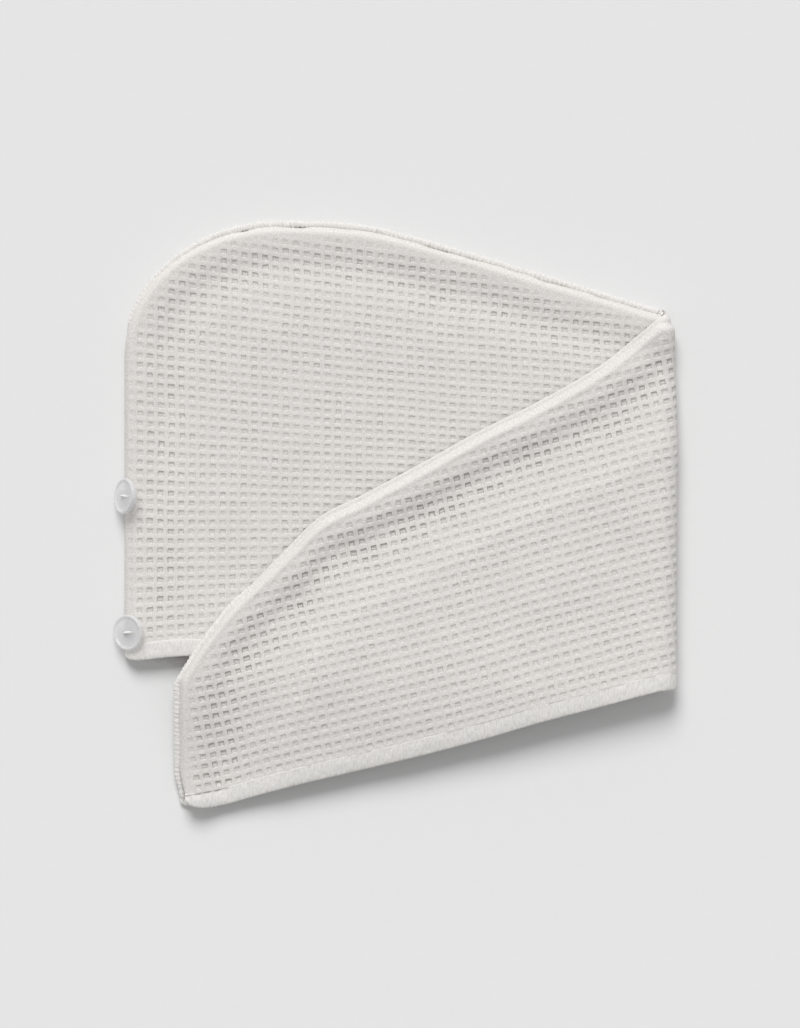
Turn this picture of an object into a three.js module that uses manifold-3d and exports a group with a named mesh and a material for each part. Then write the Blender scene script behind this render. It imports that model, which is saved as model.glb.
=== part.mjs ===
import * as THREE from "three";
import { mergeVertices } from "three/addons/utils/BufferGeometryUtils.js";
import Module from "manifold-3d";

// A hair turban towel lying folded on a table: a hood, and its tail turned back over it.
// Two mirrored cloth panels are sewn together along the nape, the crown, the top and the
// tail end, and stay open along the hemmed lower edge, where the head goes in.
// Millimetres. x runs from the nape to the fold, y from the hem to the crown, z up.

// Cloth and hem
const cloth_thickness = 1.8;
const seam_gap = 0.4;
const hem_gap = 0.3;
const seam_step = 3.6;
const hem_width = 10.5;
const hem_thickness = 2.6;
const hem_pull = 5.5;
const hem_pull_run = 45;
const hem_pull_at_fold = 0.3;

// Hood as seen from above; its length ends at the middle of the fold
const hood_length = 338.4;
const hood_depth = 279.1;
const hood_hem_fall = 17.2;
const crown_length = 101.1;
const crown_height = 82;
const top_turn_at = 152;
const top_turn_softness = 25;
const top_slope = 0.305;
const nape_corner_run = 8;
const nape_corner_share = 0.33;

// Tail as it lies over the hood
const tail_length = 307.1;
const tail_width = 236.4;
const tail_hem_start = 19;
const tail_hem_slope = 0.2553;
const tail_corner_run = 18;
const tail_corner_share = 0.8;
const tail_end_draw_in = 3.5;
const tail_end_draw_in_share = 0.25;
const fold_bow = 3;

// Heights of the hollows and of the layers above the table
const hood_hollow = 6.0;
const tail_hollow = 6.0;
const layer_clearance = 1.2;
const rim_width = 60;
const mouth_run = 34;
const mouth_dip_at_nape = 0.1;
const mouth_dip_at_fold = 0.2;
const mouth_calm_from = 60;
const mouth_calm_to = 150;
const tail_lift = 1.0;
const tail_drop_run = 90;

// Buttons and their threads
const button_diameter = 22.8;
const button_thickness = 3.2;
const button_floor = 2.1;
const button_rim_width = 2.2;
const button_hole = 2.4;
const button_hole_spacing = 5.4;
const thread_diameter = 1.5;
const thread_rise = 0.5;
const thread_clearance = 0.35;
const thread_step = 0.1;

// Share of the tail's length from the fold, its width there as a share of the width at the
// fold, how far its hem sags out as a share of the hem's width, and which panel's edge is
// drawn in by the seam step.
const tail_outline = [
  { along: 0, width: 1, hem_sag: 0, near_inset: 1, far_inset: 0 },
  { along: 0.041, width: 0.968, hem_sag: 0, near_inset: 1, far_inset: 0 },
  { along: 0.1235, width: 0.91, hem_sag: 0.03, near_inset: 1, far_inset: 0 },
  { along: 0.247, width: 0.857, hem_sag: 0.06, near_inset: 1, far_inset: 0 },
  { along: 0.37, width: 0.818, hem_sag: 0.2, near_inset: 1, far_inset: 0 },
  { along: 0.494, width: 0.7695, hem_sag: 0.24, near_inset: 1, far_inset: 0 },
  { along: 0.617, width: 0.7247, hem_sag: 0.18, near_inset: 1, far_inset: 0 },
  { along: 0.7, width: 0.6973, hem_sag: 0.13, near_inset: 1, far_inset: 0 },
  { along: 0.761, width: 0.6417, hem_sag: 0.11, near_inset: 1, far_inset: 0 },
  { along: 0.823, width: 0.583, hem_sag: 0.12, near_inset: 0.8, far_inset: 0.2 },
  { along: 0.889, width: 0.5235, hem_sag: 0.18, near_inset: 0.1, far_inset: 0.9 },
  { along: 0.9465, width: 0.444, hem_sag: 0.08, near_inset: 0, far_inset: 1 },
  { along: 0.9815, width: 0.386, hem_sag: 0, near_inset: 0, far_inset: 1 },
  { along: 1, width: 0.352, hem_sag: 0, near_inset: 0, far_inset: 1 },
];

// How far the fold bows out past its middle line, from hem to seam, as a share of the bow.
const fold_outline = [
  { up: 0, bow: -0.2 },
  { up: 0.08, bow: -0.15 },
  { up: 0.18, bow: -0.1 },
  { up: 0.45, bow: -0.1 },
  { up: 0.65, bow: 0.3 },
  { up: 0.82, bow: 0.45 },
  { up: 0.95, bow: -0.35 },
  { up: 1, bow: 0.5 },
];

// The puffed edge beside a sewn seam: distance inwards as a share of the rim width, and the
// height of each hollow there as a share of its full height. The third row is the crest,
// the fifth the trough behind it, which the hood loses near its mouth.
const seam_rim = [
  { inset: 0, hood: 0, mouth: 0, tail: 0 },
  { inset: 0.05, hood: 0.48, mouth: 0.48, tail: 0.6 },
  { inset: 0.12, hood: 0.8, mouth: 0.85, tail: 1.02 },
  { inset: 0.22, hood: 0.74, mouth: 0.94, tail: 0.9 },
  { inset: 0.42, hood: 0.55, mouth: 0.98, tail: 0.42 },
  { inset: 0.7, hood: 0.84, mouth: 1, tail: 0.62 },
  { inset: 1, hood: 1, mouth: 1, tail: 1 },
];

// Buttons on the nape edge: place along the nape as a share of the hood's depth, distance
// inside the edge as a share of the diameter, height of the centre above the cloth's seam
// as a share of the diameter, and how far the outer side leans down.
const buttons = [
  { name: "lower", up_nape: 0.0638, inside: 0.125, above: 0.3, lean_degrees: 36, turn_degrees: 4 },
  { name: "upper", up_nape: 0.372, inside: 0.04, above: 0.335, lean_degrees: 57, turn_degrees: -5 },
];

// Fineness of the grids
const hood_stations = 22;
const fold_stations = 7;
const tail_stations = 22;
const rows = 19;
const nape_crowding = 2;
const tail_crowding = 1.8;
const seam_crowding = 1.7;
const round_sides = 24;
const hole_sides = 12;
const thread_sides = 3;
const thread_steps = 12;

const half_turn = Math.PI;
const slope_step = 0.5;
const rim_blend_power = 3;
const seam_foot = 2 * cloth_thickness + seam_gap;
const hem_room = 2 * (hem_thickness - cloth_thickness);
const tail_end = hood_length - tail_length;
const tail_hem_fall = tail_hem_slope * tail_length;

const share_of = (value) => Math.min(1, Math.max(0, value));
const mix = (a, b, share) => a + (b - a) * share;

function ease(from, to, at) {
  const share = share_of((at - from) / (to - from));
  return share * share * (3 - 2 * share);
}

// A smooth curve through one column of a table
function read(table, key, column, at) {
  const last = table.length - 1;
  const place = Math.min(table[last][key], Math.max(table[0][key], at));
  let row = 0;
  while (row < last - 1 && place > table[row + 1][key]) row += 1;
  const slopeAt = (k) => {
    const a = table[Math.max(0, k - 1)];
    const b = table[Math.min(last, k + 1)];
    return (b[column] - a[column]) / (b[key] - a[key]);
  };
  const from = table[row];
  const to = table[row + 1];
  const step = to[key] - from[key];
  const s = (place - from[key]) / step;
  const rise = to[column] - from[column];
  const start = slopeAt(row) * step;
  const end = slopeAt(row + 1) * step;
  return from[column] + s * (start + s * (3 * rise - 2 * start - end + s * (start + end - 2 * rise)));
}

// How far a rounded corner has drawn an edge back at a distance from its end
function corner(distance, run, rise) {
  const inside = share_of(1 - distance / run);
  return rise * (1 - Math.sqrt(1 - inside * inside));
}

// Outlines from above

function topSeam(x) {
  const beyond = x - top_turn_at;
  const drop = (top_slope * (beyond + Math.hypot(beyond, top_turn_softness))) / 2;
  return hood_depth - drop - corner(x, crown_length, crown_height);
}

function hoodHem(x) {
  return (-hood_hem_fall * x) / hood_length;
}

function tailHem(along) {
  const straight = -tail_hem_start - tail_hem_fall * along;
  return straight - hem_width * read(tail_outline, "along", "hem_sag", along);
}

function tailSeam(along) {
  const straight = -tail_hem_start - tail_hem_fall * along;
  return straight + tail_width * read(tail_outline, "along", "width", along);
}

// The fold's middle line
function foldAt(panel, v) {
  const bottom = hoodHem(hood_length);
  const y = mix(panel.hoodHem(hood_length) + hem_width, panel.hoodTop(hood_length), v);
  const up = (y - bottom) / (topSeam(hood_length) - bottom);
  return hood_length + fold_bow * read(fold_outline, "up", "bow", up);
}

// The hem of the near panel lies a little short of the far one between nape, fold and tail end.
function hemPullHood(x) {
  return hem_pull * ease(0, hem_pull_run, x) * mix(1, hem_pull_at_fold, x / hood_length);
}

function hemPullTail(along) {
  const from_end = (1 - along) * tail_length;
  return hem_pull * ease(0, hem_pull_run, from_end) * mix(hem_pull_at_fold, 1, along);
}

// Heights

function nearest(a, b) {
  if (a <= 0 || b <= 0) return 0;
  return (a ** -rim_blend_power + b ** -rim_blend_power) ** (-1 / rim_blend_power);
}

function inwards(edge, x, y, step) {
  const slope = (edge(x + step) - edge(x - step)) / (2 * slope_step);
  return (edge(x) - seam_step - y) / Math.hypot(1, slope);
}

// The nape's side of the top seam is level with the straight nape edge.
function hoodInset(x, y) {
  const safe = Math.max(x, slope_step);
  return nearest(x, inwards(topSeam, safe, y, slope_step));
}

function tailInset(along, y) {
  const step = slope_step / tail_length;
  const safe = Math.min(1 - step, Math.max(step, along));
  return nearest((1 - along) * tail_length - seam_step, inwards(tailSeam, safe, y, step));
}

// The room between two panels, a little lower at the mouth, with space for both hems there
function hollow(height, above_hem, from_fold) {
  const mouth = 1 - ease(hem_width, hem_width + mouth_run, above_hem);
  const dip = mix(mouth_dip_at_fold, mouth_dip_at_nape, share_of(from_fold));
  return seam_gap + height * (1 - dip * mouth) + hem_room * mouth;
}

function hoodHollow(x, y) {
  const above_hem = y - hoodHem(x);
  const inset = hoodInset(x, y) / rim_width;
  const calm = ease(mouth_calm_from, mouth_calm_to, above_hem);
  const mouth = read(seam_rim, "inset", "mouth", inset);
  const rise = mix(mouth, read(seam_rim, "inset", "hood", inset), calm);
  return hollow(hood_hollow * rise, above_hem, 1 - x / hood_length);
}

function tailHollow(along, y) {
  const rise = read(seam_rim, "inset", "tail", tailInset(along, y) / rim_width);
  return hollow(tail_hollow * rise, y - tailHem(along), along);
}

const farHoodHeight = () => cloth_thickness / 2;

function nearHoodHeight(x, y) {
  return cloth_thickness * 1.5 + hoodHollow(x, Math.max(y, hoodHem(x)));
}

// The tail rests on the hood, and sinks towards the table beyond the hood's hem.
function nearTailHeight(along, y) {
  const x = mix(hood_length, tail_end, along);
  const on_hood = nearHoodHeight(x, y) + cloth_thickness + layer_clearance;
  const on_table = tail_lift + cloth_thickness / 2;
  return mix(on_hood, on_table, ease(0, tail_drop_run, hoodHem(x) - y));
}

function farTailHeight(along, y) {
  return nearTailHeight(along, y) + cloth_thickness + tailHollow(along, y);
}

// Each panel: its edges in the hood and in the tail, its heights, and the side its outer face is on.
const near = {
  side: 1,
  hoodHem: (x) => hoodHem(x) + hemPullHood(x),
  hoodTop: (x) => topSeam(x) - seam_step,
  tailHem: (along) => tailHem(along) + hemPullTail(along),
  tailTop: (along) => tailSeam(along) - seam_step * read(tail_outline, "along", "near_inset", along),
  tailEnd: tail_end,
  hoodHeight: nearHoodHeight,
  tailHeight: nearTailHeight,
};

const far = {
  side: -1,
  hoodHem,
  hoodTop: topSeam,
  tailHem,
  tailTop: (along) => tailSeam(along) - seam_step * read(tail_outline, "along", "far_inset", along),
  tailEnd: tail_end + seam_step,
  hoodHeight: farHoodHeight,
  tailHeight: farTailHeight,
};

// The middle surface of a panel at a place in the hood or the tail, v from hem to seam
function hoodPoint(panel, share, v) {
  const x = foldAt(panel, v) * share;
  const y = mix(panel.hoodHem(x) + hem_width, panel.hoodTop(x), v);
  return new THREE.Vector3(x, y, panel.hoodHeight(x, y));
}

function tailPoint(panel, share, v) {
  const drawn_in = tail_end_draw_in * (1 - ease(0, tail_end_draw_in_share, v));
  const x = mix(foldAt(panel, v), panel.tailEnd + drawn_in, share);
  const along = share_of((hood_length - x) / tail_length);
  const y = mix(panel.tailHem(along) + hem_width, panel.tailTop(along), v);
  return new THREE.Vector3(x, y, panel.tailHeight(along, y));
}

// Round the fold, half a turn from the hood's layer up to the tail's
function foldPoint(panel, share, v) {
  const low = hoodPoint(panel, 1, v);
  const high = tailPoint(panel, 0, v);
  const radius = (high.z - low.z) / 2;
  const angle = half_turn * (share - 0.5);
  return {
    at: new THREE.Vector3(
      low.x + radius * Math.cos(angle),
      mix(low.y, high.y, share),
      low.z + radius * (1 + Math.sin(angle)),
    ),
    out: new THREE.Vector3(Math.cos(angle), 0, Math.sin(angle)).multiplyScalar(-panel.side),
  };
}

// Every station from the nape, round the fold, to the tail end
const stations = [];
for (let i = 0; i <= hood_stations; i += 1)
  stations.push({ part: "hood", share: (i / hood_stations) ** nape_crowding });
for (let i = 1; i < fold_stations; i += 1)
  stations.push({ part: "fold", share: i / fold_stations });
for (let i = 0; i <= tail_stations; i += 1)
  stations.push({ part: "tail", share: 1 - (1 - i / tail_stations) ** tail_crowding });

const row_shares = [];
for (let j = 0; j <= rows; j += 1) row_shares.push(1 - (1 - j / rows) ** seam_crowding);

function panelPoint(panel, station, v) {
  if (station.part === "fold") return foldPoint(panel, station.share, v);
  const inHood = station.part === "hood";
  const at = inHood ? hoodPoint(panel, station.share, v) : tailPoint(panel, station.share, v);
  return { at, out: new THREE.Vector3(0, 0, inHood ? panel.side : -panel.side) };
}

function facesOutwards(positions, index) {
  const [a, b, c] = [new THREE.Vector3(), new THREE.Vector3(), new THREE.Vector3()];
  let volume = 0;
  for (let i = 0; i < index.length; i += 3) {
    a.fromArray(positions, 3 * index[i]);
    b.fromArray(positions, 3 * index[i + 1]);
    c.fromArray(positions, 3 * index[i + 2]);
    volume += a.dot(b.cross(c));
  }
  return volume > 0;
}

// A closed solid from rings of points, each ring closed on itself, the ends capped
function solidFromRings(rings) {
  const size = rings[0].length;
  const positions = rings.flat().flatMap((p) => [p.x, p.y, p.z]);
  const index = [];
  const quad = (a, b, c, d) => index.push(a, b, c, a, c, d);
  for (let i = 0; i + 1 < rings.length; i += 1)
    for (let j = 0; j < size; j += 1) {
      const next = (j + 1) % size;
      quad(i * size + j, i * size + next, (i + 1) * size + next, (i + 1) * size + j);
    }
  // Each ring runs out along one face and back along the other, so a cap is a strip between them.
  const end = (rings.length - 1) * size;
  for (let j = 0; j + 1 < size / 2; j += 1) {
    const back = size - 1 - j;
    quad(j, back, back - 1, j + 1);
    quad(end + j, end + j + 1, end + back - 1, end + back);
  }
  if (!facesOutwards(positions, index)) index.reverse();
  const geometry = new THREE.BufferGeometry();
  geometry.setAttribute("position", new THREE.Float32BufferAttribute(positions, 3));
  geometry.setIndex(index);
  geometry.computeVertexNormals();
  return geometry;
}

function panelGeometry(panel) {
  const rings = stations.map((station) => {
    const points = row_shares.map((v) => panelPoint(panel, station, v));
    const face = (p, way) => p.at.clone().addScaledVector(p.out, (way * cloth_thickness) / 2);
    const inner = points.map((p) => face(p, -1));
    const outer = points.map((p) => face(p, 1)).reverse();
    return [...inner, ...outer];
  });
  return solidFromRings(rings);
}

// The turned hem's section: distance out from the panel's edge and height over its thickness,
// both as shares. Its outer face is level with the cloth, its thickness goes into the hollow.
const hem_section = [
  { out: 0, depth: 1 },
  { out: 0.87, depth: 1 },
  { out: 0.97, depth: 0.85 },
  { out: 1, depth: 0.6 },
  { out: 1, depth: 0.4 },
  { out: 0.97, depth: 0.15 },
  { out: 0.87, depth: 0 },
  { out: 0, depth: 0 },
];

// The hem's width, rounded off at the nape and at the tail end
function hemWidth(station) {
  const from_end = (1 - station.share) * tail_length;
  if (station.part === "tail")
    return hem_width - corner(from_end, tail_corner_run, hem_width * tail_corner_share);
  if (station.part === "fold") return hem_width;
  const from_nape = station.share * hood_length;
  return hem_width - corner(from_nape, nape_corner_run, hem_width * nape_corner_share);
}

function hemGeometry(panel) {
  const rings = stations.map((station) => {
    const edge = panelPoint(panel, station, 0);
    const behind = panelPoint(panel, station, row_shares[1]);
    const beyond = (-hem_width * row_shares[1]) / edge.at.distanceTo(behind.at);
    const away = panelPoint(panel, station, beyond).at.sub(edge.at).setX(0).normalize();
    return hem_section.map((row) => {
      const out = mix(hem_gap, hemWidth(station), row.out);
      const depth = cloth_thickness / 2 - hem_thickness * row.depth;
      return edge.at.clone().addScaledVector(away, out).addScaledVector(edge.out, depth);
    });
  });
  return solidFromRings(rings);
}

// Buttons

const wasm = await Module();
wasm.setup();

function toSolid(geometry) {
  const plain = geometry.clone();
  plain.deleteAttribute("normal");
  plain.deleteAttribute("uv");
  const merged = mergeVertices(plain);
  const mesh = new wasm.Mesh({
    numProp: 3,
    vertProperties: merged.attributes.position.array,
    triVerts: new Uint32Array(merged.index.array),
  });
  return new wasm.Manifold(mesh);
}

function toGeometry(solid) {
  const mesh = solid.getMesh();
  const geometry = new THREE.BufferGeometry();
  geometry.setAttribute("position", new THREE.Float32BufferAttribute(mesh.vertProperties, 3));
  geometry.setIndex(Array.from(mesh.triVerts));
  geometry.computeVertexNormals();
  return geometry;
}

// A dished disc with a raised, rounded rim, from its underside up
const button_section = [
  { radius: 0, height: 0 },
  { radius: 0.8, height: 0 },
  { radius: 0.95, height: 0.12 },
  { radius: 1, height: 0.4 },
  { radius: 1, height: 0.68 },
  { radius: 0.96, height: 0.93 },
  { radius: 0.91, height: 1 },
];

// Inside the rim, down to the dished middle: distance in from the rim's inner edge and height
// above the middle, both as shares of the rim's rise.
const button_dish = [
  { inwards: -0.33, height: 0.6 },
  { inwards: 0.5, height: 0 },
];

function buttonGeometry() {
  const radius = button_diameter / 2;
  const inner = radius - button_rim_width;
  const rise = button_thickness - button_floor;
  const profile = button_section.map(
    (p) => new THREE.Vector2(radius * p.radius, button_thickness * p.height),
  );
  for (const p of button_dish)
    profile.push(new THREE.Vector2(inner - rise * p.inwards, button_floor + rise * p.height));
  profile.push(new THREE.Vector2(0, button_floor));
  const disc = new THREE.LatheGeometry(profile, round_sides);
  disc.rotateX(half_turn / 2);
  let solid = toSolid(disc);
  for (const side of [-1, 1]) {
    const drill = new THREE.CylinderGeometry(
      button_hole / 2,
      button_hole / 2,
      4 * button_thickness,
      hole_sides,
    );
    drill.rotateX(half_turn / 2);
    drill.translate((side * button_hole_spacing) / 2, 0, 0);
    solid = solid.subtract(toSolid(drill));
  }
  const geometry = toGeometry(solid);
  geometry.translate(0, 0, -button_floor / 2);
  return geometry;
}

// Where a thread's leg, run straight out of the back of the button, meets the cloth
function legEnd(seat, x) {
  const clearanceAt = (depth) => {
    const heights = [-1, 0, 1].map((side) => {
      const foot = new THREE.Vector3(x + (side * thread_diameter) / 2, 0, -depth);
      foot.applyMatrix4(seat.matrix);
      return foot.z - cloth_thickness / 2 - nearHoodHeight(Math.max(foot.x, 0), foot.y);
    });
    return Math.min(...heights);
  };
  let depth = button_floor / 2;
  while (clearanceAt(depth + thread_step) > thread_clearance && depth < button_diameter / 2)
    depth += thread_step;
  return -depth;
}

// A stitch: up through one hole, across the face and down through the other
function threadGeometry(seat) {
  const half = button_hole_spacing / 2;
  const top = button_floor / 2 + thread_diameter / 2 + thread_rise;
  const turn = thread_diameter;
  const path = new THREE.CurvePath();
  const at = (x, z) => new THREE.Vector3(x, 0, z);
  const leg = top - turn;
  path.add(new THREE.LineCurve3(at(-half, legEnd(seat, -half)), at(-half, leg)));
  path.add(new THREE.QuadraticBezierCurve3(at(-half, leg), at(-half, top), at(-half + turn, top)));
  path.add(new THREE.LineCurve3(at(-half + turn, top), at(half - turn, top)));
  path.add(new THREE.QuadraticBezierCurve3(at(half - turn, top), at(half, top), at(half, leg)));
  path.add(new THREE.LineCurve3(at(half, leg), at(half, legEnd(seat, half))));
  const ring = new THREE.Shape();
  ring.absarc(0, 0, thread_diameter / 2, 0, 2 * half_turn);
  return new THREE.ExtrudeGeometry(ring, {
    steps: thread_steps,
    curveSegments: thread_sides,
    extrudePath: path,
  });
}

// Pieces

const turban = new THREE.Group();
turban.name = "hair_turban_towel";
const folded = new THREE.Group();
folded.name = "folded_towel";
turban.add(folded);

function addPiece(parent, name, geometry, color, roughness) {
  const material = new THREE.MeshStandardMaterial({ color, roughness, metalness: 0 });
  const mesh = new THREE.Mesh(geometry, material);
  mesh.name = name;
  parent.add(mesh);
  return mesh;
}

addPiece(folded, "far_panel", panelGeometry(far), "#d9d6d1", 0.95);
addPiece(folded, "near_panel", panelGeometry(near), "#d9d6d1", 0.95);
addPiece(folded, "far_hem", hemGeometry(far), "#dedbd6", 0.92);
addPiece(folded, "near_hem", hemGeometry(near), "#dedbd6", 0.92);

for (const row of buttons) {
  const seat = new THREE.Group();
  seat.position.set(
    button_diameter * row.inside,
    hood_depth * row.up_nape,
    seam_foot + button_diameter * row.above,
  );
  seat.rotation.order = "ZYX";
  seat.rotation.y = -THREE.MathUtils.degToRad(row.lean_degrees);
  seat.rotation.z = THREE.MathUtils.degToRad(row.turn_degrees);
  seat.updateMatrix();
  folded.add(seat);
  addPiece(seat, row.name + "_button", buttonGeometry(), "#dadada", 0.12);
  addPiece(seat, row.name + "_thread", threadGeometry(seat), "#f1f0ec", 0.85);
}

// The part's origin is under the middle of its box.
turban.updateMatrixWorld(true);
const box = new THREE.Box3().setFromObject(folded, true);
folded.position.set(-(box.min.x + box.max.x) / 2, -(box.min.y + box.max.y) / 2, -box.min.z);

export default turban;
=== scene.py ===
import math
import bmesh
import bpy
import numpy as np
from mathutils import Matrix


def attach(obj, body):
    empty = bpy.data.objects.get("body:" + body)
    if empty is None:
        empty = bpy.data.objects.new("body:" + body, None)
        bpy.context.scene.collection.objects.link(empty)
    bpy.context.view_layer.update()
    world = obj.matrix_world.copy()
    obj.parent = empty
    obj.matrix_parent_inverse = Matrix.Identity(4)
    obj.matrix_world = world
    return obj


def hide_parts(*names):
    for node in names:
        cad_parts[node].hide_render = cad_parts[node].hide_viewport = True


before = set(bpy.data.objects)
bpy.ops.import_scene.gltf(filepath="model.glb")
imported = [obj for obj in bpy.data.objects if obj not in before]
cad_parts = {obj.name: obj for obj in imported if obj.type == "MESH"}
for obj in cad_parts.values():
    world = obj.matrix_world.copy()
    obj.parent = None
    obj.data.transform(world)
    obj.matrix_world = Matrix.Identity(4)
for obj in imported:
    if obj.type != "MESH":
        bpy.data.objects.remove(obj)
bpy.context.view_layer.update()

# A hair turban towel of waffle cotton, lying folded on a table and seen from above.
# The sheets are laid out in millimetres: x from the nape to the fold, y from the hem to the
# crown, z up. Past the fold x goes on as length of cloth round the fold.
ORIGIN = np.array([-171.189, -92.594, 0.0])

# Sizes, as in the solids
CLOTH, SEAM_GAP, SEAM_STEP = 1.8, 0.4, 3.6
HEM_WIDTH, HEM_THICKNESS, HEM_PULL = 10.5, 2.6, 5.5
HOOD_LENGTH, HOOD_DEPTH, HOOD_HEM_FALL = 338.4, 279.1, 17.2
CROWN_LENGTH, CROWN_HEIGHT = 101.1, 82.0
TOP_TURN_AT, TOP_TURN_SOFTNESS, TOP_SLOPE = 152.0, 25.0, 0.305
TAIL_LENGTH, TAIL_WIDTH, TAIL_HEM_START, TAIL_HEM_FALL = 307.1, 236.4, 19.0, 78.4
TAIL_END = HOOD_LENGTH - TAIL_LENGTH
FOLD_BOW, TAIL_DRAW_IN = 3.0, 3.5
HOOD_HOLLOW, TAIL_HOLLOW, LAYER_GAP, RIM_WIDTH = 6.0, 6.0, 1.2, 60.0
MOUTH_RUN, TAIL_LIFT, TAIL_DROP_RUN = 34.0, 1.0, 90.0
HEM_ROOM = 2 * (HEM_THICKNESS - CLOTH)
CELL_WIDTH, CELL_HEIGHT = 6.6, 6.0
HOOD_COLUMNS, HOOD_ROWS = 51.5, 56
TAIL_COLUMNS, TAIL_ROWS = 66, 42
TAIL_COLUMN_WIDTH, TAIL_ROW_HEIGHT = 6.4, 6.2
SLOPE_STEP = 0.5  # an edge's slope is its change over this much cloth to either side

# Along the tail from the fold: its width, how far the hem sags, which panel's edge is drawn in
TAIL_ALONG = [0, 0.041, 0.1235, 0.247, 0.37, 0.494, 0.617]
TAIL_ALONG += [0.7, 0.761, 0.823, 0.889, 0.9465, 0.9815, 1]
TAIL_WIDTHS = [1, 0.968, 0.91, 0.857, 0.818, 0.7695, 0.7247]
TAIL_WIDTHS += [0.6973, 0.6417, 0.583, 0.5235, 0.444, 0.386, 0.352]
HEM_SAGS = [0, 0, 0.03, 0.06, 0.2, 0.24, 0.18, 0.13, 0.11, 0.12, 0.18, 0.08, 0, 0]
FAR_DRAWN_IN = [0, 0, 0, 0, 0, 0, 0, 0, 0, 0.2, 0.9, 1, 1, 1]
FOLD_UP = [0, 0.08, 0.18, 0.45, 0.65, 0.82, 0.95, 1]
FOLD_BOWS = [-0.2, -0.15, -0.1, -0.1, 0.3, 0.45, -0.35, 0.5]
RIM_INSET = [0, 0.05, 0.12, 0.22, 0.42, 0.7, 1]
RIM_HOOD = [0, 0.7, 0.82, 0.77, 0.53, 0.84, 1]
RIM_MOUTH = [0, 0.48, 0.85, 0.94, 0.98, 1, 1]
RIM_TAIL = [0, 0.93, 1.0, 0.94, 0.42, 0.58, 1]


def between(a, b, share):
    return a + (b - a) * share


def eased(start, stop, at):
    share = np.clip((at - start) / (stop - start), 0, 1)
    return share * share * (3 - 2 * share)


def curve(places, values, at):
    """A smooth curve through a table's points"""
    p, v = np.asarray(places, float), np.asarray(values, float)
    at = np.clip(at, p[0], p[-1])
    k = np.clip(np.searchsorted(p, at) - 1, 0, len(p) - 2)
    before, after = np.maximum(np.arange(len(p)) - 1, 0), np.minimum(np.arange(len(p)) + 1, len(p) - 1)
    slope = (v[after] - v[before]) / (p[after] - p[before])
    step = p[k + 1] - p[k]
    s, rise, start, end = (at - p[k]) / step, v[k + 1] - v[k], slope[k] * step, slope[k + 1] * step
    return v[k] + s * (start + s * (3 * rise - 2 * start - end + s * (start + end - 2 * rise)))


chance = np.random.default_rng(11)
LUCK = chance.random((128, 128))


def drift(x, y, span, turn=0):
    """Slow wandering from -1 to 1, with bumps about `span` across"""
    gx, gy = x / span + 31.7 * turn, y / span + 12.3 * turn
    ix, iy = np.floor(gx).astype(int), np.floor(gy).astype(int)
    fx, fy = eased(0, 1, gx - ix), eased(0, 1, gy - iy)
    value = lambda a, b: LUCK[a % 128, b % 128]
    low = between(value(ix, iy), value(ix + 1, iy), fx)
    high = between(value(ix, iy + 1), value(ix + 1, iy + 1), fx)
    return 2 * between(low, high, fy) - 1


# Outlines from above
def top_seam(x):
    beyond = x - TOP_TURN_AT
    drop = TOP_SLOPE * (beyond + np.hypot(beyond, TOP_TURN_SOFTNESS)) / 2
    inside = np.clip(1 - x / CROWN_LENGTH, 0, 1)
    return HOOD_DEPTH - drop - CROWN_HEIGHT * (1 - np.sqrt(1 - inside * inside))


def hood_hem(x):
    return -HOOD_HEM_FALL * x / HOOD_LENGTH


def tail_hem(along):
    return -TAIL_HEM_START - TAIL_HEM_FALL * along - HEM_WIDTH * curve(TAIL_ALONG, HEM_SAGS, along)


def tail_seam(along):
    return -TAIL_HEM_START - TAIL_HEM_FALL * along + TAIL_WIDTH * curve(TAIL_ALONG, TAIL_WIDTHS, along)


def fold_line(y):
    bottom = hood_hem(HOOD_LENGTH)
    up = (y - bottom) / (top_seam(HOOD_LENGTH) - bottom)
    return HOOD_LENGTH + FOLD_BOW * curve(FOLD_UP, FOLD_BOWS, up)


def along_of(x):
    return np.clip((HOOD_LENGTH - x) / TAIL_LENGTH, 0, 1)


def near_hood_hem(x):
    return hood_hem(x) + HEM_PULL * eased(0, 45, x) * between(1, 0.3, x / HOOD_LENGTH)


def near_tail_hem(along):
    return tail_hem(along) + HEM_PULL * eased(0, 45, (1 - along) * TAIL_LENGTH) * between(0.3, 1, along)


# Heights
def nearest(a, b):
    a, b = np.maximum(a, 1e-4), np.maximum(b, 1e-4)
    return (a**-3.0 + b**-3.0) ** (-1 / 3)


def inwards(edge, x, y, step):
    slope = edge(x + step) - edge(x - step)
    return (edge(x) - SEAM_STEP - y) / np.hypot(1, slope)


def hood_top_inset(x, y):
    return inwards(top_seam, np.maximum(x, SLOPE_STEP), y, SLOPE_STEP)


def hood_inset(x, y):
    return nearest(x, hood_top_inset(x, y))


def tail_inset(along, y):
    step = SLOPE_STEP / TAIL_LENGTH
    safe = np.clip(along, step, 1 - step)
    return nearest((1 - along) * TAIL_LENGTH - SEAM_STEP, inwards(tail_seam, safe, y, step))


def room(height, above_hem, from_fold):
    mouth = 1 - eased(HEM_WIDTH, HEM_WIDTH + MOUTH_RUN, above_hem)
    dip = between(0.2, 0.1, np.clip(from_fold, 0, 1))
    return SEAM_GAP + height * (1 - dip * mouth) + HEM_ROOM * mouth


def near_hood_height(x, y):
    y = np.maximum(y, hood_hem(x))
    above_hem, inset = y - hood_hem(x), hood_inset(x, y) / RIM_WIDTH
    rise = between(
        curve(RIM_INSET, RIM_MOUTH, inset), curve(RIM_INSET, RIM_HOOD, inset), eased(60, 150, above_hem)
    )
    swell = eased(0, 0.3, inset) * (0.35 * drift(x, y, 47) + 0.2 * drift(x, y, 21, 1))
    return CLOTH * 1.5 + room(HOOD_HOLLOW * rise, above_hem, 1 - x / HOOD_LENGTH) + swell


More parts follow.
